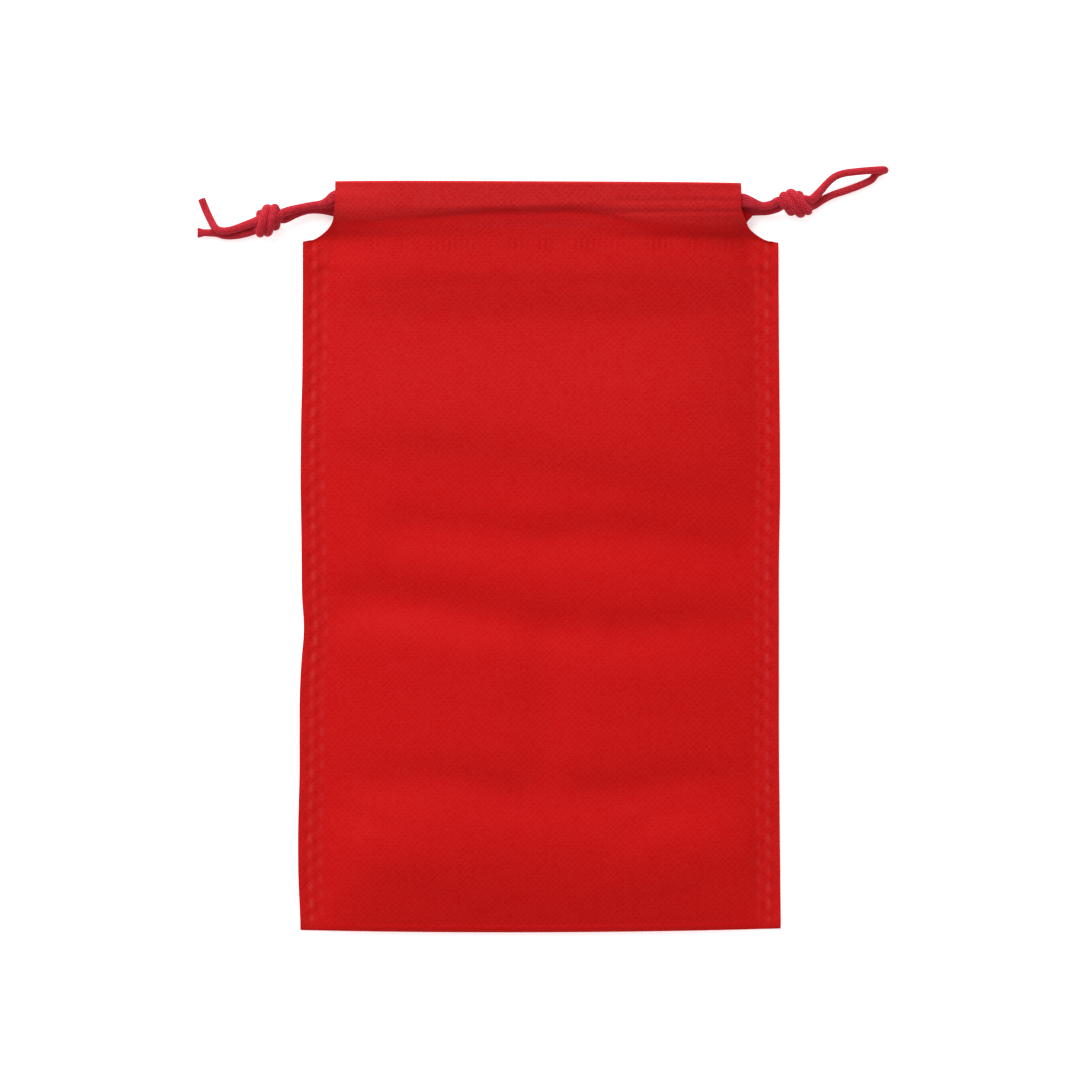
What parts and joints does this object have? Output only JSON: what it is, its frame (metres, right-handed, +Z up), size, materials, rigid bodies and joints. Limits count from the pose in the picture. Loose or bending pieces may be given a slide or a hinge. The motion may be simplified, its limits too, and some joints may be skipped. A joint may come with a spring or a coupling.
{
  "type": "drawstring gift sack",
  "caption": "Flat rectangular non-woven fabric sack with welded sides, an open mouth between two casings, and a drawcord knotted at both sides.",
  "frame": {"origin": "under the middle of the sack as it lies on its back, measured without the free cord ends", "axes": "+X across the sack to the pull loop's side, +Y from the bottom fold to the mouth, +Z up from the surface it lies on"},
  "size_m": [0.2212, 0.2452, 0.0137],
  "materials": {
    "red_fabric": "matt spunbond polypropylene with a fine diagonal embossed dot pattern",
    "crimson_cord": "matt braided polyester cord"
  },
  "bodies": {
    "sack_back": {"back_panel": "red_fabric", "bottom_fold": "red_fabric", "left_side_weld": "red_fabric", "right_side_weld": "red_fabric", "back_casing": "red_fabric", "back_hem_weld": "red_fabric"},
    "sack_front": {"front_panel": "red_fabric", "front_casing": "red_fabric", "front_hem_weld": "red_fabric"},
    "drawcord": {"back_cord_run": "crimson_cord", "left_lead_front": "crimson_cord", "left_lead_back": "crimson_cord", "left_knot": "crimson_cord", "left_tail_upper": "crimson_cord", "left_tail_lower": "crimson_cord", "right_lead_front": "crimson_cord", "right_lead_back": "crimson_cord", "right_knot": "crimson_cord", "right_loop": "crimson_cord"},
    "drawcord_front_run": {"front_cord_run": "crimson_cord"}
  },
  "joints": [
    {"name": "mouth_open", "type": "hinge", "parent": "sack_back", "child": "sack_front", "pos_m": [0, -0.1172, 0.00195], "axis": [1, 0, 0], "range_deg": [0, 15]},
    {"name": "drawcord_slide", "type": "slide", "parent": "sack_back", "child": "drawcord", "axis": [1, 0, 0], "range_m": [-0.011, 0.0165], "deforming": ["left_lead_front", "left_lead_back", "right_lead_front", "right_lead_back"]},
    {"name": "front_run_slide", "type": "slide", "parent": "sack_front", "child": "drawcord_front_run", "axis": [1, 0, 0], "range_m": [-0.011, 0.0165], "deforming": ["front_cord_run"]}
  ],
  "couplings": [
    {"joint": "front_run_slide", "follows": "drawcord_slide", "ratio": 1}
  ]
}
